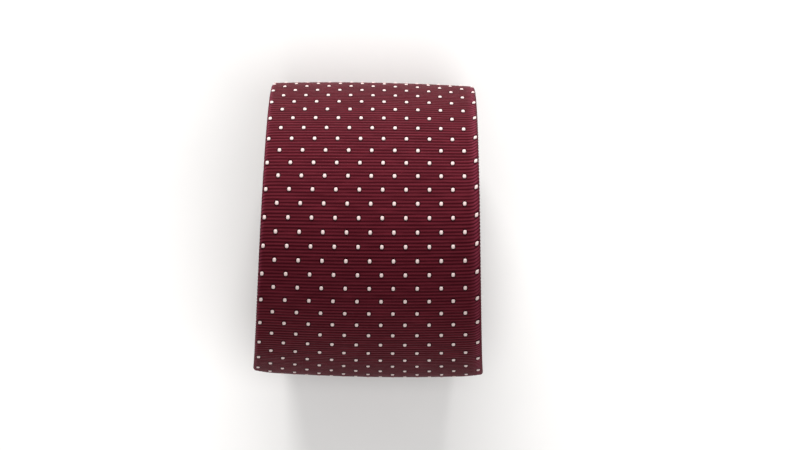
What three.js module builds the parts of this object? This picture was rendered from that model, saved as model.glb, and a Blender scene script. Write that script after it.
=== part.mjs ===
// A rolled silk necktie, in millimetres: +Z up, the roll's axis along X, the origin under it on the table.
// The tie is wound from its tail outwards, face out. The blade passes over the top from back to front, and
// its pointed end lies against the front of the roll. The tie is one long ribbon, so every piece of it is
// placed by its distance from the blade's point (s), its place across the width (u) and its height above
// the middle of the interlining (v, positive on the face side, which is the outside of the roll).
import * as THREE from "three";

// ---------------------------------------------------------------- sizes
const TIE_LENGTH = 1480; // point to point
const BLADE_WIDTH = 76.5; // at the shoulders of the blade's point
const NECK_WIDTH = 34;
const TAIL_WIDTH = 42; // at the shoulders of the tail's point
const BLADE_TAPER_END = 690; // where the blade has narrowed to the neck
const TAIL_TAPER_START = 1010; // where the neck starts to widen to the tail
const SHOULDER = 1.0; // length of a point over its half width: 1 is a right-angled point
const POINT_BLUNT = 1.6; // half width at which a folded point ends

const SILK = 0.4; // silk with its folded seam allowance
const INTERLINING = 1.4; // brushed wool
const TOUCH = 0.3; // gap kept between pieces that touch
const HALF_THICK = INTERLINING / 2 + TOUCH + SILK; // from mid interlining to the tie's surface
const EDGE_CHAMFER = 0.5; // on the folded edges

const ROLL_RADIUS = 50.2; // outside of the roll's round upper half
const ROLL_BASE = 38; // from the roll's widest level down to the table
const TURN_GAP_SIDE = 1.2; // between one turn and the next, at the sides
const TURN_GAP_TOP = 1.4; // at the top, where the turns hang loose
const TURN_GAP_BASE = 0.8; // at the bottom, where they lie on each other
const BASE_SQUARENESS = 2.5; // superellipse exponent of the lower half: 2 is an ellipse
const BASE_CUT = 1.5; // how much of that superellipse the table flattens
const POINT_ANGLE = 130; // where the blade's point lies, in degrees from the top towards the front
const POINT_GAP = 0.7; // between the blade's point and the turn that it lies on

const SEAM_SLIT = 0.65; // half width of the back seam that the slip stitch closes
const BLADE_HEM = 14; // fold-back along the blade's point, measured across the tie
const BLADE_SEAM_START = 86; // where the two folded sides meet on the back of the blade
const TAIL_HEM = 8;
const TAIL_SEAM_START = 46;
const BLADE_HINGE = 98; // length of the blade's end that lifts off the roll
const TAIL_HINGE = 52; // length of the tail's end that lifts in the core

const BLADE_PANEL_END = 700; // the silk is cut in three panels: blade, neck and tail
const NECK_PANEL_END = 1040;
const INTERLINING_JOIN = 860; // the interlining is cut in two pieces
const STITCH = 0.4; // thickness of a stitched thread line
const TACK_LENGTH = 10; // bar tack, across the seam
const TACK_WIDTH = 1.4;
const BLADE_TACK = BLADE_SEAM_START + 3;
const TAIL_TACK = TAIL_SEAM_START + 2;

const KEEPER_PLACE = 204; // middle of the keeper loop, from the blade's point
const KEEPER_BAND = 12; // width of its band
const KEEPER_SPAN = 50; // its length across the tie
const KEEPER_FOOT = 2; // sewn-down end
const KEEPER_PASSAGE = 0.7; // room under it, lying flat
const KEEPER_CLOTH = 0.5;
const LABEL_PLACE = 231;
const LABEL_SIZE = [40, 18]; // across and along the tie
const CARE_PLACE = 256;
const CARE_SIZE = [22, 16];
const LABEL_CLOTH = 0.35;

const CLEAR = 0.4; // between the keeper and the turn inside it

const TURN_PER_STEP = 12; // degrees that the ribbon turns between two sections
const LONGEST_STEP = 14;

// ---------------------------------------------------------------- sizes that follow from those
const THICK = 2 * HALF_THICK;
const TURN_SIDE = THICK + TURN_GAP_SIDE; // from one turn to the next
const TURN_TOP = THICK + TURN_GAP_TOP;
const TURN_BASE = THICK + TURN_GAP_BASE;
const KEEPER_HEIGHT = TOUCH + KEEPER_PASSAGE + KEEPER_CLOTH + TOUCH + SILK; // with its stitches
const OUTER_TURN_ROOM = KEEPER_HEIGHT + CLEAR - TURN_GAP_BASE; // more room inside the outer turn

// ---------------------------------------------------------------- colours
const finish = (color, roughness) => new THREE.MeshStandardMaterial({ color, roughness, metalness: 0 });
const SILK_FINISH = finish(0x5c1624, 0.55);
const WOOL_FINISH = finish(0xd9d2c3, 0.95);
const TIPPING_FINISH = finish(0x4a1420, 0.35);
const THREAD_FINISH = finish(0x431019, 0.7);
const IVORY_FINISH = finish(0xe9e1da, 0.6);
const LABEL_FINISH = finish(0x1d2233, 0.5);

// ---------------------------------------------------------------- the route of the roll
// The widths of the roll where it crosses its widest level, counted from the outside: even ones lie at
// the front (-Y), odd ones at the back.
const sideOf = (crossing) =>
  ROLL_RADIUS - HALF_THICK - (crossing * TURN_SIDE) / 2 - (crossing >= 2 ? OUTER_TURN_ROOM : 0);
const insideTurn = (turn) => (turn >= 1 ? OUTER_TURN_ROOM : 0);
const topOf = (turn) => ROLL_RADIUS - HALF_THICK - turn * TURN_TOP - insideTurn(turn);
const baseOf = (turn) => ROLL_BASE - HALF_THICK - turn * TURN_BASE - insideTurn(turn);

// The middle and the half width of a half turn that runs from a crossing at the front to one at the back.
function spanOf(front, back) {
  return [(sideOf(back) - sideOf(front)) / 2, (sideOf(back) + sideOf(front)) / 2];
}

// A point [y, z] over the roll, at an angle from the front upwards.
function upperPlace(turn, angle) {
  const [middle, half] = spanOf(2 * turn, 2 * turn + 1);
  return [middle - half * Math.cos(angle), ROLL_BASE + topOf(turn) * Math.sin(angle)];
}

// A point under the roll, at an angle from the front downwards, lifted off the turn.
function lowerPlace(turn, angle, lift) {
  const [middle, half] = spanOf(2 * turn + 2, 2 * turn + 1);
  const power = 2 / BASE_SQUARENESS;
  const across = Math.cos(angle);
  const y = middle - (half + lift) * Math.sign(across) * Math.abs(across) ** power;
  const deep = (baseOf(turn) + BASE_CUT + lift) * Math.sin(angle) ** power;
  return [y, ROLL_BASE - Math.min(deep, baseOf(turn) + lift)];
}

// The blade's point lies on the front of the roll, below its widest level, closest at its tip.
function pointStretch(samples) {
  const points = [];
  const below = ((POINT_ANGLE - 90) * Math.PI) / 180;
  for (let i = samples; i > 0; i--) {
    const share = i / samples;
    const lift = (sideOf(0) - sideOf(2)) * (1 - share) + (THICK + POINT_GAP) * share;
    points.push(lowerPlace(0, below * share, lift));
  }
  return points;
}

// The length of a line up to each of its points.
function lengthOf(line) {
  const lengths = [0];
  for (let i = 1; i < line.length; i++) {
    const [y, z] = line[i - 1];
    lengths.push(lengths[i - 1] + Math.hypot(line[i][0] - y, line[i][1] - z));
  }
  return lengths;
}

// The whole route from the blade's point inwards, as a fine line with its length at each point.
function makeRoute() {
  const samples = 360;
  const line = pointStretch(samples / 3);
  let length = 0;
  for (let turn = 0; length < TIE_LENGTH; turn++) {
    if (topOf(turn) < 6) throw new Error("the tie is too long for the roll");
    for (let i = 0; i < samples; i++) line.push(upperPlace(turn, (Math.PI * i) / samples));
    for (let i = samples; i > 0; i--) line.push(lowerPlace(turn, (Math.PI * i) / samples, 0));
    length = lengthOf(line).at(-1);
  }
  return { line, along: lengthOf(line) };
}
const route = makeRoute();

// The place at a distance s from the blade's point: [y, z], and the outward normal there.
function routeAt(s) {
  const { line, along } = route;
  let low = 0;
  let high = along.length - 1;
  while (high - low > 1) {
    const middle = (low + high) >> 1;
    if (along[middle] <= s) low = middle;
    else high = middle;
  }
  const share = (s - along[low]) / (along[high] - along[low]);
  const mix = (a, b) => a + (b - a) * share;
  const before = line[Math.max(low - 1, 0)];
  const after = line[Math.min(high + 1, line.length - 1)];
  const tangent = [after[0] - before[0], after[1] - before[1]];
  const size = Math.hypot(...tangent);
  return {
    y: mix(line[low][0], line[high][0]),
    z: mix(line[low][1], line[high][1]),
    normal: [-tangent[1] / size, tangent[0] / size], // the route runs front, top, back, so this points out
  };
}

// ---------------------------------------------------------------- the ribbon's outline
// Straight lines between [s, value] pairs.
function along(pairs, s) {
  for (let i = 1; i < pairs.length; i++) {
    const [s0, a] = pairs[i - 1];
    const [s1, b] = pairs[i];
    if (s <= s1) return a + ((b - a) * Math.max(0, s - s0)) / (s1 - s0);
  }
  return pairs.at(-1)[1];
}
const BLADE_POINT = (BLADE_WIDTH / 2) * SHOULDER;
const TAIL_POINT = (TAIL_WIDTH / 2) * SHOULDER;
const OUTLINE = [
  [0, 0],
  [BLADE_POINT, BLADE_WIDTH / 2],
  [BLADE_TAPER_END, NECK_WIDTH / 2],
  [TAIL_TAPER_START, NECK_WIDTH / 2],
  [TIE_LENGTH - TAIL_POINT, TAIL_WIDTH / 2],
  [TIE_LENGTH, 0],
];
const halfWidth = (s) => Math.max(POINT_BLUNT, along(OUTLINE, s));

// Half of the gap between the folded sides on the back. It opens at both ends, over the tippings.
const BACK_GAP = [
  [BLADE_HEM * SHOULDER, SEAM_SLIT],
  [BLADE_POINT, BLADE_WIDTH / 2 - BLADE_HEM],
  [BLADE_SEAM_START, SEAM_SLIT],
  [TIE_LENGTH - TAIL_SEAM_START, SEAM_SLIT],
  [TIE_LENGTH - TAIL_POINT, TAIL_WIDTH / 2 - TAIL_HEM],
  [TIE_LENGTH - TAIL_HEM * SHOULDER, SEAM_SLIT],
];
const backGap = (s) => along(BACK_GAP, s);
const BLADE_BLUNT = POINT_BLUNT * SHOULDER; // where the folded points end
const TAIL_BLUNT = TIE_LENGTH - BLADE_BLUNT;

// ---------------------------------------------------------------- solids
// A ribbon: sectionAt(s) gives one closed outline of [u, v] points, placed on the route at each station.
function ribbon(places, sectionAt) {
  const positions = [];
  const faces = [];
  const sections = places.map(sectionAt);
  const count = sections[0].length;
  places.forEach((s, i) => {
    const { y, z, normal } = routeAt(s);
    for (const [u, v] of sections[i]) positions.push(u, y + normal[0] * v, z + normal[1] * v);
  });
  const corner = (station, k) => station * count + (k % count);
  for (let i = 1; i < places.length; i++)
    for (let k = 0; k < count; k++) {
      const [a, b, c, d] = [corner(i - 1, k), corner(i - 1, k + 1), corner(i, k + 1), corner(i, k)];
      faces.push(a, c, b, a, d, c);
    }
  const cap = (section) => {
    const outline = section.map(([u, v]) => new THREE.Vector2(u, v));
    return THREE.ShapeUtils.triangulateShape(outline, []);
  };
  const last = places.length - 1;
  for (const [a, b, c] of cap(sections[0])) faces.push(a, b, c);
  for (const [a, b, c] of cap(sections[last])) faces.push(corner(last, c), corner(last, b), corner(last, a));
  const geometry = new THREE.BufferGeometry();
  geometry.setAttribute("position", new THREE.Float32BufferAttribute(positions, 3));
  geometry.setIndex(faces);
  return geometry;
}

const rectangle = (left, right, low, high) => [
  [left, low],
  [right, low],
  [right, high],
  [left, high],
];

// The silk folded round the interlining, open along the back seam.
function shellSection(s) {
  const w = halfWidth(s);
  const g = backGap(s);
  const t = HALF_THICK;
  const c = EDGE_CHAMFER;
  const f = SILK;
  const right = [
    [g, -t],
    [w - c, -t],
    [w, c - t],
    [w, t - c],
    [w - c, t],
  ];
  const inside = [
    [f - w, f - t],
    [f - w, t - f],
    [w - f, t - f],
    [w - f, f - t],
  ];
  const left = right.map(([u, v]) => [-u, v]).reverse();
  return [...right, ...left, [-g, f - t], ...inside, [g, f - t]];
}
const interliningSection = (s) => {
  const w = halfWidth(s) - SILK - TOUCH;
  return rectangle(-w, w, -INTERLINING / 2, INTERLINING / 2);
};
const tippingSection = (s) => {
  const w = backGap(s) - TOUCH;
  return rectangle(-w, w, -HALF_THICK, SILK - HALF_THICK);
};
const slipStitchSection = () => {
  const w = SEAM_SLIT - TOUCH;
  return rectangle(-w, w, -HALF_THICK, STITCH - HALF_THICK);
};

// Something flat on the back of the tie: from its left to its right edge, with this much under it.
const backPatch = (left, right, lift, thick) => () =>
  rectangle(left, right, -HALF_THICK - TOUCH - lift - thick, -HALF_THICK - TOUCH - lift);

// The keeper: a band across the back, sewn down at its two ends, that the tail can pass under.
function keeperSection() {
  const end = KEEPER_SPAN / 2;
  const top = -HALF_THICK - TOUCH;
  const under = top - KEEPER_PASSAGE;
  const low = under - KEEPER_CLOTH;
  const foot = end - KEEPER_FOOT;
  return [
    [-end, low],
    [end, low],
    [end, top],
    [foot, top],
    [foot, under],
    [-foot, under],
    [-foot, top],
    [-end, top],
  ];
}

// Each piece of the tie: its name, its finish, its two ends along the tie and its section.
const pieces = [];
const add = (name, material, ends, sectionAt) => pieces.push({ name, material, ends, sectionAt });
const centred = (place, length) => [place - length / 2, place + length / 2];

// ---------------------------------------------------------------- silk
const joint = TOUCH / 2; // half of the gap where the ribbon is divided at a fold line
const seam = STITCH / 2 + TOUCH; // from the middle of a panel seam to the panel
add("blade_end_shell", SILK_FINISH, [BLADE_BLUNT, BLADE_HINGE - joint], shellSection);
add("blade_shell", SILK_FINISH, [BLADE_HINGE + joint, BLADE_PANEL_END - seam], shellSection);
add("neck_shell", SILK_FINISH, [BLADE_PANEL_END + seam, NECK_PANEL_END - seam], shellSection);
const tailHinge = TIE_LENGTH - TAIL_HINGE;
add("tail_shell", SILK_FINISH, [NECK_PANEL_END + seam, tailHinge - joint], shellSection);
add("tail_end_shell", SILK_FINISH, [tailHinge + joint, TAIL_BLUNT], shellSection);

// The lines of stitching that join the three panels.
add("blade_neck_seam", THREAD_FINISH, centred(BLADE_PANEL_END, STITCH), shellSection);
add("neck_tail_seam", THREAD_FINISH, centred(NECK_PANEL_END, STITCH), shellSection);

// ---------------------------------------------------------------- interlining
const bladeWool = BLADE_BLUNT + 2 * SILK + TOUCH;
const tailWool = TIE_LENGTH - bladeWool;
add("blade_end_interlining", WOOL_FINISH, [bladeWool, BLADE_HINGE - joint], interliningSection);
add("blade_interlining", WOOL_FINISH, [BLADE_HINGE + joint, INTERLINING_JOIN - joint], interliningSection);
add("tail_interlining", WOOL_FINISH, [INTERLINING_JOIN + joint, tailHinge - joint], interliningSection);
add("tail_end_interlining", WOOL_FINISH, [tailHinge + joint, tailWool], interliningSection);

// ---------------------------------------------------------------- tippings and stitching
const tippingEdge = 2; // a tipping starts where the back gap is this much wider than the slit
add(
  "blade_tipping",
  TIPPING_FINISH,
  [BLADE_HEM * SHOULDER + tippingEdge, BLADE_SEAM_START - 2 * tippingEdge],
  tippingSection,
);
add(
  "tail_tipping",
  TIPPING_FINISH,
  [TIE_LENGTH - TAIL_SEAM_START + 2 * tippingEdge, TIE_LENGTH - TAIL_HEM * SHOULDER - tippingEdge],
  tippingSection,
);
const tack = backPatch(-TACK_LENGTH / 2, TACK_LENGTH / 2, 0, STITCH);
add("blade_bar_tack", THREAD_FINISH, centred(BLADE_TACK, TACK_WIDTH), tack);
add("tail_bar_tack", THREAD_FINISH, centred(TIE_LENGTH - TAIL_TACK, TACK_WIDTH), tack);
add("slip_stitch", THREAD_FINISH, [BLADE_HINGE + joint, tailHinge - joint], slipStitchSection);

// ---------------------------------------------------------------- keeper and labels, on the back of the blade
add("keeper_loop", SILK_FINISH, centred(KEEPER_PLACE, KEEPER_BAND), keeperSection);
const keeperTop = KEEPER_PASSAGE + KEEPER_CLOTH + TOUCH;
const keeperEnd = KEEPER_SPAN / 2;
const keeperTack = centred(KEEPER_PLACE, KEEPER_BAND * 0.75);
const tackThread = SILK;
for (const [name, side] of [
  ["keeper_stitch_left", -1],
  ["keeper_stitch_right", 1],
]) {
  const inner = side * (keeperEnd - KEEPER_FOOT);
  const outer = side * keeperEnd;
  add(
    name,
    IVORY_FINISH,
    keeperTack,
    backPatch(Math.min(inner, outer), Math.max(inner, outer), keeperTop, tackThread),
  );
}
const stitchInset = 1; // from a label's edge to its stitching
const labelLift = LABEL_CLOTH + TOUCH;
const [labelAcross, labelAlong] = LABEL_SIZE;
const labelEdge = labelAcross / 2;
const labelPatch = backPatch(-labelEdge, labelEdge, 0, LABEL_CLOTH);
add("brand_label", LABEL_FINISH, centred(LABEL_PLACE, labelAlong), labelPatch);
const labelStitchOuter = labelEdge - stitchInset;
const labelStitchInner = labelStitchOuter - STITCH;
const labelStitchEnds = centred(LABEL_PLACE, labelAlong - 2 * stitchInset);
add(
  "label_stitch_left",
  IVORY_FINISH,
  labelStitchEnds,
  backPatch(-labelStitchOuter, -labelStitchInner, labelLift, SILK),
);
add(
  "label_stitch_right",
  IVORY_FINISH,
  labelStitchEnds,
  backPatch(labelStitchInner, labelStitchOuter, labelLift, SILK),
);

const [careAcross, careAlong] = CARE_SIZE;
const careEdge = careAcross / 2;
const carePatch = backPatch(-careEdge, careEdge, 0, LABEL_CLOTH);
add("care_label", IVORY_FINISH, centred(CARE_PLACE, careAlong), carePatch);
const careStitchEdge = careEdge - stitchInset;
add(
  "care_label_stitch",
  THREAD_FINISH,
  centred(CARE_PLACE - careAlong / 2 + stitchInset, STITCH),
  backPatch(-careStitchEdge, careStitchEdge, labelLift, SILK),
);

// ---------------------------------------------------------------- every piece, laid along the route
// Places of sections along the whole tie: closer together where it turns, and at each end of a piece and
// break of the outline. The pieces share them, so that those that lie on each other bend alike.
function layOutPlaces() {
  const heading = (s) => {
    const { normal } = routeAt(s);
    return Math.atan2(normal[1], normal[0]);
  };
  const corners = [...OUTLINE, ...BACK_GAP].map(([s]) => s);
  const marks = [...pieces.flatMap(({ ends }) => ends), ...corners].sort((a, b) => a - b);
  const places = [marks[0]];
  for (const mark of marks.slice(1)) {
    let last = places.at(-1);
    for (let s = last + 0.5; s < mark - 1; s += 0.5) {
      const turned = Math.abs(heading(s) - heading(last));
      const degrees = (Math.min(turned, 2 * Math.PI - turned) * 180) / Math.PI;
      if (degrees >= TURN_PER_STEP || s - last >= LONGEST_STEP) {
        places.push(s);
        last = s;
      }
    }
    if (mark > last) places.push(mark);
  }
  return places;
}
const places = layOutPlaces();
const root = new THREE.Group();
for (const { name, material, ends, sectionAt } of pieces) {
  const within = places.filter((s) => s >= ends[0] && s <= ends[1]);
  const mesh = new THREE.Mesh(ribbon(within, sectionAt), material);
  mesh.name = name;
  root.add(mesh);
}

export default root;
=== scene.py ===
"""A rolled silk necktie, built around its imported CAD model."""
import math

import bpy
import numpy as np
from mathutils import Matrix, Vector


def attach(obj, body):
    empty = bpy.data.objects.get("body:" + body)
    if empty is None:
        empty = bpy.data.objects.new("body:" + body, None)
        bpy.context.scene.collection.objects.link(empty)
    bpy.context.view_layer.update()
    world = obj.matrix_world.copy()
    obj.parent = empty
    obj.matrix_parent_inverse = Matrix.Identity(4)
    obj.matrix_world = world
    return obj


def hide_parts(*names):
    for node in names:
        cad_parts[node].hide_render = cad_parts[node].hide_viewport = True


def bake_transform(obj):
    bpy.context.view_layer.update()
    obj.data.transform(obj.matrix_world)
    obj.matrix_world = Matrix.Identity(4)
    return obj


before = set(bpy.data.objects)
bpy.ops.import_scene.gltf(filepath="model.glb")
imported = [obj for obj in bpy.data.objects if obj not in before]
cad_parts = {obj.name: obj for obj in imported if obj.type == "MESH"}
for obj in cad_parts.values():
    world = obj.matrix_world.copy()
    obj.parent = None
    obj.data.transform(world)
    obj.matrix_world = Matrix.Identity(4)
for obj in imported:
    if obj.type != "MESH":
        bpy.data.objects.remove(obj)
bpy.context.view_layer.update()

# ---------------------------------------------------------------- the tie's sizes, in millimetres
# The tie is one ribbon, wound from its tail outwards. A place on it has a distance from the blade's point
# (s), a place across it (u) and a height above the middle of the interlining (v, positive on the face).
MM = 0.001
TIE_LENGTH = 1480
BLADE_WIDTH = 76.5
NECK_WIDTH = 34
TAIL_WIDTH = 42
BLADE_TAPER_END = 690
TAIL_TAPER_START = 1010
POINT_BLUNT = 0.9
SILK = 0.4
INTERLINING = 1.4
TOUCH = 0.3
HALF_THICK = INTERLINING / 2 + TOUCH + SILK
THICK = 2 * HALF_THICK
CROWN = 0.68  # how much higher the face is in the middle than at its folds
POINT_FULLNESS = 0.45  # of the tie's full thickness, at its two points
FULL_HALF_WIDTH = 8  # a half width that adds one full thickness to that

ROLL_RADIUS = 50.2
ROLL_BASE = 38
TURN_SIDE = THICK + 1.2
TURN_TOP = THICK + 1.4
TURN_BASE = THICK + 0.8
OUTER_TURN_ROOM = 1.8
BASE_SQUARENESS = 2.5
BASE_CUT = 1.5
POINT_ANGLE = 130
POINT_GAP = 0.7
REST_LIFT = 0.22  # the tie rests on its dots, so the cloth between them is pressed up by this much
REST_DEPTH = 3  # how far above the table the cloth is still pressed up
ROUTE_STEP = 0.25
SMOOTHED_STEPS = 17  # the route's heading is averaged over this many steps

BLADE_HEM = 14
BLADE_SEAM_START = 86
TAIL_HEM = 8
TAIL_SEAM_START = 46
SEAM_GAP = 0.12  # half of the gap between the folded sides on the back
WIDEST_GAP = 0.98  # the back gap never takes more than this share of the flat back
BLADE_HINGE = 98
TAIL_HINGE = TIE_LENGTH - 52
BLADE_PANEL_END = 700
NECK_PANEL_END = 1040
INTERLINING_JOIN = 860
JOIN_GAP = 0.15  # half of the gap between the two lengths of interlining
WOOL_INSET = 6  # from each point to the interlining
TIPPING_REACH = 4  # how far a tipping goes on under the folded sides
TIPPING_THICK = 0.22
TAIL_TIPPING_START = TIE_LENGTH - TAIL_SEAM_START - 2
TACK_LENGTH = 10
TACK_WIDTH = 1.4
TACK_SPACING = 0.5
SLIP_SPACING = 6
BLADE_TACK = BLADE_SEAM_START + 3
TAIL_TACK = TIE_LENGTH - TAIL_SEAM_START - 2

KEEPER_PLACE = 204
KEEPER_BAND = 12
KEEPER_SPAN = 50
KEEPER_FOOT = 2
KEEPER_PASSAGE = 0.7
KEEPER_CLOTH = 0.5
LABEL_PLACE = 231
LABEL_SIZE = (40, 18)
CARE_PLACE = 256
CARE_SIZE = (22, 16)
LABEL_CLOTH = 0.35
BACK_STITCH = 1.5  # length of a label's stitch
BACK_STITCH_SPACING = 2.1

# The cloth: dots in staggered rows, four ribs to a row.
ROW = 4.613
FIRST_ROW = 168.14  # a row with a dot on the middle line
RIB = ROW / 4
RIB_HEIGHT = 0.17
RIB_SHARPNESS = 2.4  # how narrow the grooves between the ribs are
WARP_THREAD = 0.2
RIB_SKEW = 0.0127  # the rows run this much along the tie as they cross it
RIB_BOW = 0.00026  # and this much more, times the square of the distance from the middle
POINT_STRAIGHT = 12  # the rows are straight this near to a point
POINT_EASE = 40  # and straighten over this length before that
PIECE_EASE = 12  # they also straighten over this length towards the ends of a piece of the mesh
EDGE_SLANT = 1.0  # the ribs run along the tie at the folds
EDGE_SLANT_WIDTH = 2.6
EDGE_SLANT_START = (0.7, -1.0)  # from where the left and right folds begin to curve
EDGE_SLANT_EASE = 0.8
DOT_ACROSS = 1.2
DOT_ALONG = 1.5
DOT_PITCH_START = 8.4  # the space between the dots of a row, at the blade's point
DOT_PITCH_END = 6.92
DOT_PITCH_STEADY = 236  # from here on the space stays the same
DOT_HEIGHT = 0.24
DOT_THREADS = 4
DOT_INSET = 2  # from each point to the first dots
DOT_COLUMNS = 20  # on each side of the middle line, more than the widest place takes
FOLD_HIGHLIGHT_PLACE = (0.7, -0.3)  # where a painted highlight lies on the left and right folds, where they catch the light, measured from where they begin to curve
FOLD_HIGHLIGHT_WIDTH = (0.6, 0.95)

BLADE_WRAP_END = 240  # the outer turn is one piece up to here, under the roll
TAIL_WRAP_START = 1375


# ---------------------------------------------------------------- the route of the roll
def side_of(crossing):
    """Half the roll's width where the route crosses its widest level: even at the front, odd at the back."""
    room = OUTER_TURN_ROOM if crossing >= 2 else 0
    return ROLL_RADIUS - HALF_THICK - crossing * TURN_SIDE / 2 - room


def span_of(front, back):
    """The middle and the half width of a half turn between a crossing at the front and one at the back."""
    return (side_of(back) - side_of(front)) / 2, (side_of(back) + side_of(front)) / 2


def room_in(turn):
    return OUTER_TURN_ROOM if turn >= 1 else 0


def upper_places(turn, angle):
    """Points (y, z) over the roll, at angles from the front upwards."""
    middle, half = span_of(2 * turn, 2 * turn + 1)
    top = ROLL_RADIUS - HALF_THICK - turn * TURN_TOP - room_in(turn)
    return np.column_stack([middle - half * np.cos(angle), ROLL_BASE + top * np.sin(angle)])


def lower_places(turn, angle, lift):
    """Points (y, z) under the roll, at angles from the front downwards, lifted off the turn."""
    middle, half = span_of(2 * turn + 2, 2 * turn + 1)
    base = ROLL_BASE - HALF_THICK - turn * TURN_BASE - room_in(turn)
    power = 2 / BASE_SQUARENESS
    across = np.cos(angle)
    y = middle - (half + lift) * np.sign(across) * np.abs(across) ** power
    deep = (base + BASE_CUT + lift) * np.sin(angle).clip(0) ** power
    return np.column_stack([y, ROLL_BASE - np.minimum(deep, base + lift)])


def make_route(samples=1440):
    """The whole route from the blade's point inwards, and the length at each of its points."""
    share = np.arange(samples // 3, 0, -1) / (samples // 3)
    lift = (side_of(0) - side_of(2)) * (1 - share) + (THICK + POINT_GAP) * share
    line = lower_places(0, math.radians(POINT_ANGLE - 90) * share, lift)
    lengths = np.zeros(1)
    turn = 0
    while lengths[-1] < TIE_LENGTH:
        angle = math.pi * np.arange(samples) / samples
        line = np.concatenate([line, upper_places(turn, angle), lower_places(turn, math.pi - angle, 0)])
        lengths = np.append(0, np.hypot(*np.diff(line, axis=0).T).cumsum())
        turn += 1
    return line, lengths


ROUTE, ROUTE_LENGTHS = make_route()


def smooth_route():
    """The route's points and headings at even steps, with the slight kinks of its joins worn away."""
    s = np.arange(0, ROUTE_LENGTHS[-1], ROUTE_STEP)
    y, z = (np.interp(s, ROUTE_LENGTHS, ROUTE[:, i]) for i in (0, 1))
    heading = np.unwrap(np.arctan2(np.gradient(z), np.gradient(y)))
    kernel = np.hanning(SMOOTHED_STEPS + 2)[1:-1]
    padded = np.pad(heading, SMOOTHED_STEPS // 2, mode="edge")
    heading = np.convolve(padded, kernel / kernel.sum(), mode="valid")
    return s, y, z, heading


ROUTE_S, ROUTE_Y, ROUTE_Z, ROUTE_HEADING = smooth_route()


def placed(s, u, v):
    """Positions in metres of places on the tie."""
    heading = np.interp(s, ROUTE_S, ROUTE_HEADING)
    y = np.interp(s, ROUTE_S, ROUTE_Y) - np.sin(heading) * v
    z = np.interp(s, ROUTE_S, ROUTE_Z) + np.cos(heading) * v
    z = z + REST_LIFT * (1 - z / REST_DEPTH).clip(0) ** 2
    return np.stack([np.broadcast_to(u, y.shape), y, z], axis=-1) * MM


# ---------------------------------------------------------------- the tie's outline and skin
OUTLINE = [
    (0, 0),
    (BLADE_WIDTH / 2, BLADE_WIDTH / 2),
    (BLADE_TAPER_END, NECK_WIDTH / 2),
    (TAIL_TAPER_START, NECK_WIDTH / 2),
    (TIE_LENGTH - TAIL_WIDTH / 2, TAIL_WIDTH / 2),
    (TIE_LENGTH, 0),
]
BACK_GAP = [
    (BLADE_HEM, SEAM_GAP),
    (BLADE_WIDTH / 2, BLADE_WIDTH / 2 - BLADE_HEM),
    (BLADE_SEAM_START, SEAM_GAP),
    (TIE_LENGTH - TAIL_SEAM_START, SEAM_GAP),
    (TIE_LENGTH - TAIL_WIDTH / 2, TAIL_WIDTH / 2 - TAIL_HEM),
    (TIE_LENGTH - TAIL_HEM, SEAM_GAP),
]


def half_width(s):
    return np.interp(s, *zip(*OUTLINE)).clip(POINT_BLUNT)


def back_gap(s):
    return np.interp(s, *zip(*BACK_GAP))


def plumpness(s):
    """The tie is full everywhere but at its two points, where it thins."""
    return (POINT_FULLNESS + half_width(s) / FULL_HALF_WIDTH).clip(0, 1)


def fold_radius(s):
    return np.minimum((THICK - CROWN) / 2 * plumpness(s), half_width(s) * 0.8)


def flat_half(s):
    """Half the width of the flat face, between the folds."""
    return half_width(s) - fold_radius(s)


def seam_half(s):
    """Half the gap between the folded sides on the back."""
    return np.minimum(back_gap(s), flat_half(s) * WIDEST_GAP)


def skin(s, a):
    """Places across the tie at distances a from the face's middle line, measured on the skin round the folds.

    Gives their u and v, and the skin's outward normal there."""
    side = np.sign(a)
    a = np.abs(a)
    radius, flat = fold_radius(s), flat_half(s)
    share = (a / np.maximum(flat, 0.01)).clip(0, 1)
    crown = CROWN * plumpness(s) * (1 - share**2)
    angle = ((a - flat) / radius).clip(0, math.pi)
    past = (a - flat - math.pi * radius).clip(0)
    u = np.where(a <= flat, a, flat + radius * np.sin(angle) - past)
    v = -HALF_THICK + radius + radius * np.cos(angle) + crown
    return u * side, v, np.sin(angle) * side, np.cos(angle)


def row_shift(a, s):
    """How far along the tie a row of the weave has moved, at a distance from the middle line."""
    side = np.sign(a)
    flat = flat_half(s)
    begin = np.where(a < 0, *EDGE_SLANT_START)
    into_fold = np.abs(a) - flat - begin
    into_fold = ((into_fold + np.hypot(into_fold, EDGE_SLANT_EASE)) / 2).clip(0, EDGE_SLANT_WIDTH)
    u = np.minimum(np.abs(a), flat) * side
    from_point = np.minimum(s, TIE_LENGTH - s)
    at_ends = np.clip((from_point - POINT_STRAIGHT) / POINT_EASE, 0, 1)
    return (RIB_SKEW * u + RIB_BOW * u**2 + EDGE_SLANT * side * into_fold) * at_ends


# ---------------------------------------------------------------- meshes
def new_piece(name, points, faces, uvs, fold=None):
    """A mesh object with smooth faces; fold gives each point's share of a painted highlight along the crease
    of a fold, kept as the mesh's fold attribute.
    """
    mesh = bpy.data.meshes.new(name)
    mesh.from_pydata(points.reshape(-1, 3).tolist(), [], faces)
    mesh.polygons.foreach_set("use_smooth", [True] * len(mesh.polygons))
    layer = mesh.uv_layers.new(name="cloth")
    corners = np.empty(len(mesh.loops), dtype=np.int32)
    mesh.loops.foreach_get("vertex_index", corners)
    layer.data.foreach_set("uv", uvs.reshape(-1, 2)[corners].astype(np.float32).ravel())
    if fold is not None:
        tone = mesh.attributes.new("fold", "FLOAT", "POINT")
        tone.data.foreach_set("value", fold.astype(np.float32).ravel())
    mesh.validate()
    mesh.update()
    piece = bpy.data.objects.new(name, mesh)
    bpy.context.scene.collection.objects.link(piece)
    return piece


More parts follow.
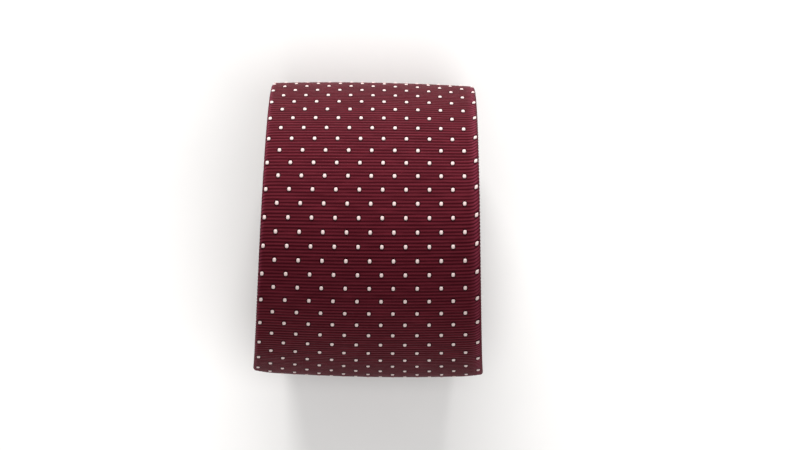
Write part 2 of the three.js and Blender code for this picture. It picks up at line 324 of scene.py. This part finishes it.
def grid_faces(rows, columns, closed):
    """Faces between the rows of a grid of points; closed joins each row's two ends."""
    row = np.arange(rows - 1)[:, None] * columns
    k = np.arange(columns if closed else columns - 1)[None, :]
    k1 = (k + 1) % columns
    quads = np.stack([row + k, row + k1, row + columns + k1, row + columns + k], axis=-1)
    return quads.reshape(-1, 4).tolist()


def end_caps(rows, columns):
    """The faces that close the first and last rows of a grid of points."""
    first = list(range(columns))
    return [first[::-1], [(rows - 1) * columns + k for k in first]]


def folded_silk(name, start, end, rib_points, face_steps, fold_steps):
    """The silk between two places, folded round the interlining and open along its back seam.

    rib_points are the places of the mesh's rows inside a rib, as shares of it. face_steps is how many faces
    there are from the middle to a fold, and fold_steps how many round a fold."""
    first = math.ceil((start - FIRST_ROW) / RIB)
    last = math.floor((end - FIRST_ROW) / RIB)
    ribs = np.arange(first - 1, last + 1)[:, None]
    rows = FIRST_ROW + RIB * (ribs + np.array(rib_points)[None, :]).ravel()
    rows = np.concatenate([[start], rows[(rows > start + 0.05) & (rows < end - 0.05)], [end]])
    s = rows[:, None]
    radius, flat, gap = fold_radius(s), flat_half(s), seam_half(s)
    face = flat * (1 - (1 - np.linspace(0, 1, face_steps + 1)) ** 1.8)  # closer together near the fold
    fold = flat + radius * math.pi * np.linspace(0, 1, fold_steps + 1)[1:]
    back = flat + radius * math.pi + (flat - gap) * np.linspace(0, 1, face_steps // 2 + 1)[1:]
    outside = np.concatenate([face, fold, back], axis=1)
    outside = np.concatenate([-outside[:, :0:-1], outside], axis=1)
    inside = outside[:, ::-1][:, ::2]
    a = np.concatenate([outside, inside], axis=1)

    fade = np.clip((s - start) / PIECE_EASE, 0, 1) * np.clip((end - s) / PIECE_EASE, 0, 1)
    along = s + row_shift(a, s) * fade
    u, v, nu, nv = skin(along, a)
    within = ((s - FIRST_ROW) / RIB) % 1
    relief = -RIB_HEIGHT * np.abs(2 * within - 1) ** RIB_SHARPNESS
    uneven = 1 + 0.12 * np.sin(outside * 0.9 + s * 0.37) * np.sin(outside * 0.31 - s * 0.53)
    depth = np.concatenate([relief * uneven, np.full(inside.shape, -SILK)], axis=1)
    points = placed(along, u + nu * depth, v + nv * depth)
    count = a.shape[1]
    uvs = np.stack([a * MM, np.broadcast_to(s, a.shape) * MM], axis=-1)
    # A painted highlight along the crease of each fold, kept on the mesh for the silk's colour.
    from_fold_highlight = np.abs(a) - flat - np.where(a < 0, *FOLD_HIGHLIGHT_PLACE)
    painted_fold_highlight = np.exp(-((from_fold_highlight / np.where(a < 0, *FOLD_HIGHLIGHT_WIDTH)) ** 2))
    faces = grid_faces(len(rows), count, True) + end_caps(len(rows), count)
    return new_piece(name, points, faces, uvs, painted_fold_highlight)


def ribbon_piece(name, rows, section):
    """A closed band: section(s) gives u and v arrays for one closed loop at each place s."""
    s = np.asarray(rows, float)[:, None]
    u, v = section(s)
    u, v = np.broadcast_arrays(u, v)
    points = placed(np.broadcast_to(s, u.shape), u, v)
    uvs = np.stack([u, np.broadcast_to(s, u.shape)], axis=-1) * MM
    count = u.shape[1]
    return new_piece(name, points, grid_faces(len(rows), count, True) + end_caps(len(rows), count), uvs)


def rounded_band(left, right, low, high, bevel, across):
    """The u and v of a flat band's section, with rounded edges."""
    share = np.linspace(0, 1, across)
    top = left + bevel + (right - left - 2 * bevel) * share
    middle = (low + high) / 2
    ones = np.ones_like(top)
    u = np.concatenate([top, right * ones[..., :1], top[..., ::-1], left * ones[..., :1]], axis=-1)
    v = np.concatenate([high * ones, middle * ones[..., :1], low * ones, middle * ones[..., :1]], axis=-1)
    return u, v


def steps(start, end, spacing):
    """Evenly spaced places from start to end."""
    return np.linspace(start, end, max(3, round((end - start) / spacing) + 1))


# ---------------------------------------------------------------- materials
def srgb(red, green, blue):
    """A colour given as 0 to 255 in sRGB, as Blender's linear values."""
    def linear(x):
        x /= 255
        return x / 12.92 if x <= 0.04045 else ((x + 0.055) / 1.055) ** 2.4

    return (linear(red), linear(green), linear(blue), 1)


class Nodes:
    """A short way to write a material's node tree."""

    def __init__(self, name, **sockets):
        self.material = bpy.data.materials.new(name)
        self.material.use_nodes = True
        self.tree = self.material.node_tree
        self.shader = self.tree.nodes["Principled BSDF"]
        for key, value in sockets.items():
            self.shader.inputs[key.replace("_", " ")].default_value = value

    def add(self, kind, inputs=None, **properties):
        node = self.tree.nodes.new("ShaderNode" + kind)
        for key, value in properties.items():
            setattr(node, key, value)
        for key, value in (inputs or {}).items():
            self.put(node.inputs[key], value)
        return node

    def put(self, socket, value):
        if isinstance(value, bpy.types.Node):
            value = value.outputs[0]
        if isinstance(value, bpy.types.NodeSocket):
            self.tree.links.new(value, socket)
        else:
            socket.default_value = value

    def math(self, operation, *values, clamp=False):
        return self.add("Math", dict(enumerate(values)), operation=operation, use_clamp=clamp)

    def mix(self, share, a, b):
        node = self.add("Mix", data_type="RGBA")
        self.put(node.inputs["Factor"], share)
        self.put(node.inputs["A"], a)
        self.put(node.inputs["B"], b)
        return node.outputs["Result"]

    def cloth_place(self):
        """Distances across and along the cloth, in millimetres, and its coordinates in metres."""
        uv = self.add("UVMap", uv_map="cloth")
        split = self.add("SeparateXYZ", {0: uv})
        across, along = (self.math("MULTIPLY", split.outputs[i], 1 / MM) for i in (0, 1))
        return across, along, uv

    def noise(self, place, scale, detail=2.0, stretch=(1, 1, 1)):
        scales = tuple(scale * part for part in stretch)
        scaled = self.add("Mapping", {"Vector": place, "Scale": scales})
        return self.add("TexNoise", {"Vector": scaled, "Scale": 1.0, "Detail": detail}).outputs[0]

    def wave(self, place, pitch):
        """From 0 to 1 and back in each pitch, 0 at whole pitches."""
        turn = self.math("MULTIPLY", place, 2 * math.pi / pitch)
        return self.math("MULTIPLY_ADD", self.math("COSINE", turn), -0.5, 0.5)

    def bump(self, height, strength, distance, under=None):
        """Relief of a height texture, on top of the relief under it."""
        node = self.add("Bump", {"Height": height, "Strength": strength, "Distance": distance})
        if under is not None:
            self.put(node.inputs["Normal"], under)
        return node

    def finish(self, color, normal=None, roughness=None):
        self.put(self.shader.inputs["Base Color"], color)
        if normal is not None:
            self.put(self.shader.inputs["Normal"], normal)
        if roughness is not None:
            self.put(self.shader.inputs["Roughness"], roughness)
        return self.material


def painted_dot_shadow(n, across, along):
    """Painted shadow round the dots: 1 at and under them, where the ground weave is painted darker, and 0
    away from them.
    """
    row = n.math("DIVIDE", n.math("SUBTRACT", FIRST_ROW, along), ROW)
    whole_row = n.math("ROUND", row)
    odd = n.math("MODULO", n.math("ABSOLUTE", whole_row), 2)
    slope = (DOT_PITCH_END - DOT_PITCH_START) / DOT_PITCH_STEADY
    pitch = n.math("MAXIMUM", n.math("MULTIPLY_ADD", along, slope, DOT_PITCH_START), DOT_PITCH_END)
    column = n.math("SUBTRACT", n.math("DIVIDE", across, pitch), n.math("MULTIPLY", odd, 0.5))
    dx = n.math("MULTIPLY", n.math("SUBTRACT", column, n.math("ROUND", column)), pitch)
    dy = n.math("MULTIPLY", n.math("SUBTRACT", row, whole_row), ROW * DOT_ACROSS / DOT_ALONG)
    away = n.math("SQRT", n.math("ADD", n.math("MULTIPLY", dx, dx), n.math("MULTIPLY", dy, dy)))
    limits = {"From Min": DOT_ACROSS * 0.6, "From Max": DOT_ACROSS * 0.95, "To Min": 1.0, "To Max": 0.0}
    return n.add("MapRange", {"Value": away, **limits}, interpolation_type="SMOOTHSTEP")


def silk_material(name, flat_mesh):
    """Ribbed silk; on a flat mesh the ribs' relief comes from the material."""
    n = Nodes(name, Sheen_Weight=0.05, Sheen_Roughness=0.35, Specular_IOR_Level=0.13)
    n.shader.inputs["Sheen Tint"].default_value = srgb(230, 80, 120)
    n.shader.inputs["Specular Tint"].default_value = srgb(250, 95, 140)
    across, along, uv = n.cloth_place()
    rib = n.wave(n.math("SUBTRACT", along, FIRST_ROW), RIB)
    streak = n.noise(uv, 90, 3.0, (1, 14, 1))
    slub = n.noise(uv, 420, 2.0, (1, 2.2, 1))
    patch = n.noise(uv, 30, 2.0)
    crest = n.math("POWER", rib, 0.6)
    # Painted shade: the colour darkens from each rib's crest down into the groove beside it, on top of the
    # shade of the ribs' relief.
    base = n.mix(crest, srgb(36, 8, 13), srgb(88, 27, 35))
    # Painted highlight: the folds are lightened along their creases, most on the ribs' crests.
    fold = n.add("Attribute", attribute_name="fold").outputs["Fac"]
    base = n.mix(n.math("MULTIPLY", n.math("MULTIPLY", fold, crest), 0.95), base, srgb(142, 60, 80))
    # Painted highlight: a thin lighter line along the top of each rib.
    base = n.mix(n.math("MULTIPLY", n.math("POWER", rib, 6), 0.42), base, srgb(124, 54, 66))
    light = n.add("MapRange", {"Value": streak, "From Min": 0.5, "From Max": 0.72})
    dark = n.add("MapRange", {"Value": streak, "From Min": 0.5, "From Max": 0.28})
    base = n.mix(n.math("MULTIPLY", light, 0.45), base, srgb(116, 38, 50))
    base = n.mix(n.math("MULTIPLY", dark, 0.5), base, srgb(50, 6, 12))
    base = n.mix(n.math("MULTIPLY", slub, 0.3), base, srgb(64, 10, 18))
    base = n.mix(n.math("MULTIPLY", patch, 0.25), base, srgb(82, 15, 27))
    # Painted shadow: the ground weave is darkened round and under each dot.
    base = n.mix(n.math("MULTIPLY", painted_dot_shadow(n, across, along), 0.75), base, srgb(20, 2, 5))
    thread = n.wave(n.math("ADD", across, n.math("MULTIPLY", slub, 0.08)), WARP_THREAD)
    base = n.mix(n.math("MULTIPLY", n.math("SUBTRACT", 1, thread), 0.3), base, srgb(40, 7, 12))
    normal = n.bump(n.math("ADD", thread, streak), 0.6, 0.00006)
    if flat_mesh:
        normal = n.bump(rib, 0.9, 0.0002, normal)
    roughness = n.math("MULTIPLY_ADD", slub, 0.25, 0.42)
    return n.finish(base, normal, roughness)


def dot_material():
    n = Nodes("dot silk", Sheen_Weight=0.2, Roughness=0.5)
    across, along, uv = n.cloth_place()
    thread = n.wave(n.math("MULTIPLY_ADD", along, 0.12, across), DOT_ACROSS / DOT_THREADS)
    shade = n.noise(uv, 900, 2.0)
    base = n.mix(thread, srgb(178, 150, 145), srgb(250, 234, 230))
    base = n.mix(n.math("MULTIPLY", shade, 0.5), base, srgb(210, 184, 180))
    return n.finish(base, n.bump(thread, 0.5, 0.00006))


def lining_material():
    n = Nodes("lining satin", Roughness=0.32, Sheen_Weight=0.15)
    uv = n.cloth_place()[2]
    weave = n.noise(uv, 900, 2.0, (1, 0.15, 1))
    base = n.mix(weave, srgb(64, 14, 24), srgb(96, 24, 38))
    return n.finish(base, n.bump(weave, 0.25, 0.00005))


def wool_material():
    n = Nodes("brushed wool", Roughness=0.95, Sheen_Weight=0.5)
    across, along, uv = n.cloth_place()
    weave = n.math("MULTIPLY", n.wave(across, 0.8), n.wave(along, 0.8))
    fuzz = n.noise(uv, 700, 4.0)
    base = n.mix(fuzz, srgb(196, 186, 166), srgb(232, 226, 212))
    return n.finish(base, n.bump(n.math("ADD", weave, fuzz), 0.6, 0.00015))


def thread_material(name, dark, light):
    n = Nodes(name, Roughness=0.55, Sheen_Weight=0.2)
    across, along = n.cloth_place()[:2]
    twist = n.wave(n.math("ADD", across, along), 0.22)
    return n.finish(n.mix(twist, dark, light), n.bump(twist, 0.5, 0.00004))


def satin_label_material(name, dark, light):
    n = Nodes(name, Roughness=0.4)
    across, along = n.cloth_place()[:2]
    weave = n.math("MULTIPLY", n.wave(across, 0.25), n.wave(along, 0.4))
    return n.finish(n.mix(weave, dark, light), n.bump(weave, 0.4, 0.00004))


SILK_WEAVE = silk_material("ribbed silk", False)
SILK_BAND = silk_material("ribbed silk of the keeper", True)
DOT = dot_material()
LINING = lining_material()
WOOL = wool_material()
THREAD = thread_material("burgundy thread", srgb(52, 12, 20), srgb(88, 22, 36))
IVORY_THREAD = thread_material("ivory thread", srgb(206, 194, 184), srgb(240, 232, 224))
LABEL = satin_label_material("navy label", srgb(16, 20, 34), srgb(34, 40, 62))
CARE = satin_label_material("white label", srgb(206, 202, 196), srgb(238, 235, 230))

# Where the cloth of each free end would start and end its bend, across the hinge, in metres; the script reads
# only whether a piece has such a bend.
BLADE_BEND = {"start": (0, -0.010, 0.087), "end": (0, -0.036, 0.087)}
TAIL_BEND = {"start": (0, 0.002, 0.0245), "end": (0, -0.008, 0.0265)}


def dress(piece, material, body, nodes=(), bend=None):
    """Gives a piece its material and hides the CAD nodes it stands for. A piece without a bend is attached to
    the body it moves with; one with a bend has its place baked into its mesh and is attached to no body.
    """
    piece.data.materials.append(material)
    if nodes:
        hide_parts(*nodes)
    if bend:
        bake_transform(piece)
    else:
        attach(piece, body)


# ---------------------------------------------------------------- silk
# Where a mesh's rows lie inside a rib, and its faces from the middle to a fold and round the fold.
FINE = {"rib_points": (0, 0.12, 0.36, 0.64, 0.88), "face_steps": 13, "fold_steps": 7}
COARSE = {"rib_points": (0, 0.3, 0.7), "face_steps": 6, "fold_steps": 6}


TAIL_SILK_END = TIE_LENGTH - POINT_BLUNT
BLADE_SHELLS = ["blade_end_shell", "blade_shell"]
for name, start, end, mesh, body, nodes, bend in (
    ("blade_silk", POINT_BLUNT, BLADE_WRAP_END, FINE, "blade_end", BLADE_SHELLS, BLADE_BEND),
    ("blade_silk_inner", BLADE_WRAP_END, BLADE_PANEL_END, COARSE, "roll", [], None),
    ("neck_silk", BLADE_PANEL_END, NECK_PANEL_END, COARSE, "roll", ["neck_shell"], None),
    ("tail_silk", NECK_PANEL_END, TAIL_WRAP_START, COARSE, "roll", ["tail_shell"], None),
    ("tail_silk_end", TAIL_WRAP_START, TAIL_SILK_END, FINE, "tail_end", ["tail_end_shell"], TAIL_BEND),
):
    piece = folded_silk(name, start, end, **mesh)
    dress(piece, SILK_WEAVE, body, nodes, bend)


# ---------------------------------------------------------------- woven dots
def dot_pitch(s):
    """The space between dots, which narrows as the blade does."""
    return np.interp(s, (0, DOT_PITCH_STEADY), (DOT_PITCH_START, DOT_PITCH_END))


def dot_grid(detail):
    """The points of one dot: their places across and along the cloth, and their heights over it."""
    share = np.linspace(-1, 1, detail)
    across, along = np.meshgrid(share, share)
    rim = np.maximum(np.abs(across), np.abs(along))
    square = rim / np.maximum(np.hypot(across, along), 1e-9)
    rounded = 0.55 + 0.45 * square  # between a square and a disc
    height = np.where(rim > 0.99, -RIB_HEIGHT, DOT_HEIGHT * (1 - rim**3.5))
    return across * rounded * DOT_ACROSS / 2, along * rounded * DOT_ALONG / 2, height


def dot_reach(s, side):
    """The nearest and farthest that a dot lies from the face's middle line, measured round the fold."""
    radius, flat = float(fold_radius(s)), float(flat_half(s))
    if side > 0:
        return 0, flat + 0.6 * radius
    return flat + 1.2 * radius, 2 * flat + math.pi * radius - float(back_gap(s)) - DOT_ACROSS


def dots(name, start, end, side, detail):
    """Raised dots of floating threads; side is 1 on the face and -1 on the back."""
    dx, dy, height = dot_grid(detail)
    dot_faces = np.array(grid_faces(detail, detail, False))
    points, uvs, faces = [], [], []
    first_row = math.ceil((FIRST_ROW - end) / ROW)
    last_row = math.floor((FIRST_ROW - start) / ROW)
    for row in range(first_row, last_row + 1):
        s = FIRST_ROW - row * ROW
        nearest, farthest = dot_reach(s, side)
        columns = np.arange(-DOT_COLUMNS, DOT_COLUMNS + 1) + (row % 2) / 2
        for a in columns * float(dot_pitch(s)):
            if not nearest <= abs(a) <= farthest:
                continue
            arc = a + dx
            here = np.full_like(arc, s)
            lean = (row_shift(arc, here) + row_shift(np.full_like(arc, a), here)) / 2
            place = s + dy + lean
            if place.min() < start or place.max() > end:
                continue
            u, v, nu, nv = skin(place, arc)
            faces += (dot_faces + len(points) * detail**2).tolist()
            points.append(placed(place, u + nu * height, v + nv * height))
            uvs.append(np.stack([dx, dy], axis=-1) * MM)
    return new_piece(name, np.array(points), faces, np.array(uvs))


# Each length of dots, with the points along a dot's side on the face and on the back.
for name, start, end, on_face, on_back, body, bend in (
    ("blade_dots", DOT_INSET, BLADE_WRAP_END, 9, 7, "blade_end", BLADE_BEND),
    ("inner_dots", BLADE_WRAP_END, BLADE_PANEL_END, 5, 5, "roll", None),
    ("neck_dots", BLADE_PANEL_END, NECK_PANEL_END, 5, 5, "roll", None),
    ("tail_dots", NECK_PANEL_END, TAIL_WRAP_START, 5, 5, "roll", None),
    ("tail_end_dots", TAIL_WRAP_START, TIE_LENGTH - DOT_INSET, 7, 7, "tail_end", TAIL_BEND),
):
    for piece_name, side, detail in ((name, 1, on_face), (name + "_back", -1, on_back)):
        dress(dots(piece_name, start, end, side, detail), DOT, body, bend=bend)


# ---------------------------------------------------------------- interlining
def wool_section(s):
    """Under the face, so that it follows the face's crown."""
    u = flat_half(s) * np.linspace(-1, 1, 17)
    low = -HALF_THICK + SILK + TOUCH
    top = np.maximum(skin(s, u)[1] - SILK - TOUCH, low + 0.1)
    return np.concatenate([u, u[:, ::-1]], axis=1), np.concatenate([top, np.full_like(u, low)], axis=1)


BLADE_WOOLS = ["blade_end_interlining", "blade_interlining"]
BLADE_WOOL_END = INTERLINING_JOIN - JOIN_GAP
TAIL_WOOL_START = INTERLINING_JOIN + JOIN_GAP
TAIL_WOOL_END = TIE_LENGTH - WOOL_INSET
for name, start, end, body, nodes, bend in (
    ("blade_wool", WOOL_INSET, BLADE_WRAP_END, "blade_end", BLADE_WOOLS, BLADE_BEND),
    ("blade_wool_inner", BLADE_WRAP_END, BLADE_WOOL_END, "roll", [], None),
    ("tail_wool", TAIL_WOOL_START, TAIL_WRAP_START, "roll", ["tail_interlining"], None),
    ("tail_wool_end", TAIL_WRAP_START, TAIL_WOOL_END, "tail_end", ["tail_end_interlining"], TAIL_BEND),
):
    piece = ribbon_piece(name, steps(start, end, 2.5), wool_section)
    dress(piece, WOOL, body, nodes, bend)


# ---------------------------------------------------------------- tippings
def tipping_half(s):
    """Half the width of a tipping: the open back, and a little more under the folded sides."""
    widest = half_width(s) - 2 * fold_radius(s) - TOUCH
    return np.maximum((back_gap(s) + TIPPING_REACH).clip(0, widest), 0.5)


def tipping_section(s):
    low = -HALF_THICK + SILK + 0.02
    return rounded_band(-tipping_half(s), tipping_half(s), low, low + TIPPING_THICK, 0.05, 25)


for name, start, end, body, node, bend in (
    ("blade_lining", BLADE_HEM - 2, BLADE_SEAM_START + 2, "blade_end", "blade_tipping", BLADE_BEND),
    ("tail_lining", TAIL_TIPPING_START, TIE_LENGTH - TAIL_HEM, "tail_end", "tail_tipping", TAIL_BEND),
):
    piece = ribbon_piece(name, steps(start, end, 1.5), tipping_section)
    dress(piece, LINING, body, [node], bend)


# ---------------------------------------------------------------- threads
def threads(name, lines, radius, sides=6):
    """Tubes that narrow at both ends, along lines of (s, u, v) places, joined in one mesh."""
    points, faces, uvs = [], [], []
    count = 0
    turn = 2 * math.pi * np.arange(sides) / sides
    cos, sin = np.cos(turn)[:, None], np.sin(turn)[:, None]
    for line in lines:
        s, u, v = line.T
        centre = placed(s, u, v)
        direction = np.gradient(centre, axis=0)
        direction /= np.linalg.norm(direction, axis=1)[:, None]
        across = np.cross(direction, placed(s, u, v - 1) - centre)
        across /= np.linalg.norm(across, axis=1)[:, None]
        up = np.cross(across, direction)
        taper = np.ones((len(line), 1, 1))
        taper[[0, -1]] = 0.35
        around = cos * across[:, None] + sin * up[:, None]
        rings = centre[:, None] + taper * radius * MM * around
        points.append(rings.reshape(-1, 3))
        length = np.append(0, np.linalg.norm(np.diff(centre, axis=0), axis=1).cumsum())
        uv = np.broadcast_arrays(radius * MM * turn[None, :], length[:, None])
        uvs.append(np.stack(uv, axis=-1).reshape(-1, 2))
        part = grid_faces(len(line), sides, True) + end_caps(len(line), sides)
        faces += [[i + count for i in face] for face in part]
        count += len(line) * sides
    return new_piece(name, np.concatenate(points), faces, np.concatenate(uvs))


def bar_tack(place):
    """Close stitches wound across the seam."""
    t = np.linspace(-1, 1, 7)
    v = -HALF_THICK - 0.32 * np.cos(t * math.pi / 2)
    middles = np.arange(TACK_SPACING / 2, TACK_LENGTH, TACK_SPACING) - TACK_LENGTH / 2
    return [np.column_stack([place + t * TACK_WIDTH / 2, u + t * 0.12, v]) for u in middles]


for name, place, body, node, bend in (
    ("blade_tack", BLADE_TACK, "blade_end", "blade_bar_tack", BLADE_BEND),
    ("tail_tack", TAIL_TACK, "tail_end", "tail_bar_tack", TAIL_BEND),
):
    dress(threads(name, bar_tack(place), 0.24), THREAD, body, [node], bend)


def slip_stitches(start, end):
    """Slanted ladder stitches that draw the two folded sides together."""
    t = np.linspace(-1, 1, 6)
    v = -HALF_THICK - 0.1 + 0.12 * t**2
    return [np.column_stack([s + t * 1.1, t * 0.9, v]) for s in np.arange(start + 2, end - 2, SLIP_SPACING)]


for name, start, end, body, nodes, bend in (
    ("slip_thread", BLADE_HINGE, BLADE_WRAP_END, "blade_end", ["slip_stitch"], BLADE_BEND),
    ("slip_thread_inner", BLADE_WRAP_END, TAIL_WRAP_START, "roll", [], None),
    ("slip_thread_tail", TAIL_WRAP_START, TAIL_HINGE, "tail_end", [], TAIL_BEND),
):
    dress(threads(name, slip_stitches(start, end), 0.14, 5), THREAD, body, nodes, bend)


def seam_ridge(s):
    """The ridge of a panel seam, all round the tie: from just under the skin to just over it."""
    whole = 2 * flat_half(s) + math.pi * fold_radius(s) - 0.4
    u, v, nu, nv = skin(s, whole * np.linspace(-1, 1, 61))
    over, under = 0.08, 0.3
    return (np.concatenate([u + nu * over, (u - nu * under)[:, ::-1]], axis=1),
            np.concatenate([v + nv * over, (v - nv * under)[:, ::-1]], axis=1))


for name, place, node in (
    ("blade_neck_thread", BLADE_PANEL_END, "blade_neck_seam"),
    ("neck_tail_thread", NECK_PANEL_END, "neck_tail_seam"),
):
    rows = place + np.array([-0.25, -0.12, 0, 0.12, 0.25])
    dress(ribbon_piece(name, rows, seam_ridge), THREAD, "roll", [node])


# ---------------------------------------------------------------- keeper and labels
BACK_PIECE_STEP = 0.6


def keeper_section(s):
    """A folded band that stands off the back between its two sewn feet."""
    u = KEEPER_SPAN / 2 * np.linspace(-1, 1, 41)
    foot = np.clip((KEEPER_SPAN / 2 - KEEPER_FOOT - np.abs(u)) / 2.5, 0, 1)
    rise = KEEPER_PASSAGE * foot * foot * (3 - 2 * foot)
    top = -HALF_THICK - 0.06 - rise
    low = top - KEEPER_CLOTH
    one = np.ones_like(s)
    return one * np.concatenate([u, u[::-1]]), one * np.concatenate([top, low[::-1]])


keeper_rows = steps(KEEPER_PLACE - KEEPER_BAND / 2, KEEPER_PLACE + KEEPER_BAND / 2, BACK_PIECE_STEP)
keeper = ribbon_piece("keeper_band", keeper_rows, keeper_section)
dress(keeper, SILK_BAND, "roll", ["keeper_loop"])

for name, side, node in (
    ("keeper_tack_left", -1, "keeper_stitch_left"),
    ("keeper_tack_right", 1, "keeper_stitch_right"),
):
    t = np.linspace(-1, 1, 6)
    u = side * (KEEPER_SPAN / 2 - 0.6) + t
    v = -HALF_THICK - KEEPER_CLOTH - 0.12 + 0.1 * t**2
    stitches = [np.column_stack([s + 0.25 * t, u, v]) for s in KEEPER_PLACE + np.linspace(-4.4, 4.4, 12)]
    dress(threads(name, stitches, 0.15), IVORY_THREAD, "roll", [node])


def label(name, place, size, material, nodes):
    """A flat woven label on the back of the blade."""
    across, along = size
    low = -HALF_THICK - 0.05 - LABEL_CLOTH

    def section(s):
        edge = np.full_like(s, across / 2)
        return rounded_band(-edge, edge, low, low + LABEL_CLOTH, 0.15, 30)

    piece = ribbon_piece(name, steps(place - along / 2, place + along / 2, BACK_PIECE_STEP), section)
    dress(piece, material, "roll", nodes)


def stitch_starts(half_length):
    """Where the stitches of a line start, from its middle."""
    return np.arange(-half_length, half_length - BACK_STITCH + 0.1, BACK_STITCH_SPACING)


def running_stitches(name, places, material, nodes):
    """Short stitches from place to place, each (s, u) to (s, u)."""
    t = np.linspace(0, 1, 6)
    v = -HALF_THICK - LABEL_CLOTH - 0.08 - 0.1 * np.sin(t * math.pi)
    lines = [np.column_stack([s0 + (s1 - s0) * t, u0 + (u1 - u0) * t, v]) for (s0, u0), (s1, u1) in places]
    dress(threads(name, lines, 0.13), material, "roll", nodes)


label("large_label", LABEL_PLACE, LABEL_SIZE, LABEL, ["brand_label"])
for name, side, node in (
    ("label_thread_left", -1, "label_stitch_left"),
    ("label_thread_right", 1, "label_stitch_right"),
):
    u = side * (LABEL_SIZE[0] / 2 - 1.2)
    starts = LABEL_PLACE + stitch_starts(LABEL_SIZE[1] / 2 - 1)
    stitches = [((s, u), (s + BACK_STITCH, u)) for s in starts]
    running_stitches(name, stitches, IVORY_THREAD, [node])
label("small_label", CARE_PLACE, CARE_SIZE, CARE, ["care_label"])
top = CARE_PLACE - CARE_SIZE[1] / 2 + 1
stitches = [((top, u), (top, u + BACK_STITCH)) for u in stitch_starts(CARE_SIZE[0] / 2 - 1.5)]
running_stitches("small_label_thread", stitches, THREAD, ["care_label_stitch"])


# ---------------------------------------------------------------- floor, light and camera
FLOOR_HALF = 8.0
WORLD_LIGHT = 0.28
CAMERA_TILT = math.radians(4.5)  # from straight above, towards the front
CAMERA_ROLL = math.radians(1.05)
CAMERA_DISTANCE = 2.4
CAMERA_AIM = Vector((0.0084, 0.0003, 0.044))
LIGHT_AIM = Vector((0, 0, 0.05))
LENS = 327.3


def floor():
    mesh = bpy.data.meshes.new("floor")
    corners = [(x * FLOOR_HALF, y * FLOOR_HALF, 0) for x, y in ((-1, -1), (1, -1), (1, 1), (-1, 1))]
    mesh.from_pydata(corners, [], [(0, 1, 2, 3)])
    piece = bpy.data.objects.new("floor", mesh)
    bpy.context.scene.collection.objects.link(piece)
    n = Nodes("pale floor", Roughness=0.9)
    grain = n.noise(n.add("TexCoord").outputs["Object"], 40, 3.0)
    piece.data.materials.append(n.finish(n.mix(grain, srgb(236, 235, 233), srgb(240, 239, 237))))


def area_light(name, place, size, power, colour):
    light = bpy.data.lights.new(name, "AREA")
    light.shape = "DISK"
    light.size = size
    light.energy = power
    light.color = colour
    lamp = bpy.data.objects.new(name, light)
    lamp.location = place
    lamp.rotation_euler = (LIGHT_AIM - Vector(place)).to_track_quat("-Z", "Y").to_euler()
    bpy.context.scene.collection.objects.link(lamp)


def camera():
    data = bpy.data.cameras.new("camera")
    data.lens = LENS
    data.clip_end = 20
    eye = bpy.data.objects.new("camera", data)
    forward = Vector((0, math.sin(CAMERA_TILT), -math.cos(CAMERA_TILT)))
    up = Vector((0, math.cos(CAMERA_TILT), math.sin(CAMERA_TILT)))
    right = Vector((1, 0, 0))
    turned_right = right * math.cos(CAMERA_ROLL) + up * math.sin(CAMERA_ROLL)
    turned_up = up * math.cos(CAMERA_ROLL) - right * math.sin(CAMERA_ROLL)
    axes = Matrix((turned_right, turned_up, -forward)).transposed().to_4x4()
    eye.matrix_world = Matrix.Translation(CAMERA_AIM - forward * CAMERA_DISTANCE) @ axes
    bpy.context.scene.collection.objects.link(eye)
    bpy.context.scene.camera = eye


floor()
area_light("key", (-0.1, 1.55, 0.66), size=0.9, power=41, colour=(1.0, 0.99, 0.99))
area_light("fill", (0.2, -0.4, 1.6), size=1.1, power=16, colour=(0.99, 0.99, 1.0))
world = bpy.data.worlds.new("studio")
world.use_nodes = True
background = world.node_tree.nodes["Background"]
background.inputs["Color"].default_value = (1, 1, 1, 1)
background.inputs["Strength"].default_value = WORLD_LIGHT
bpy.context.scene.world = world
bpy.context.scene.view_settings.view_transform = "Standard"
camera()

bpy.context.view_layer.update()
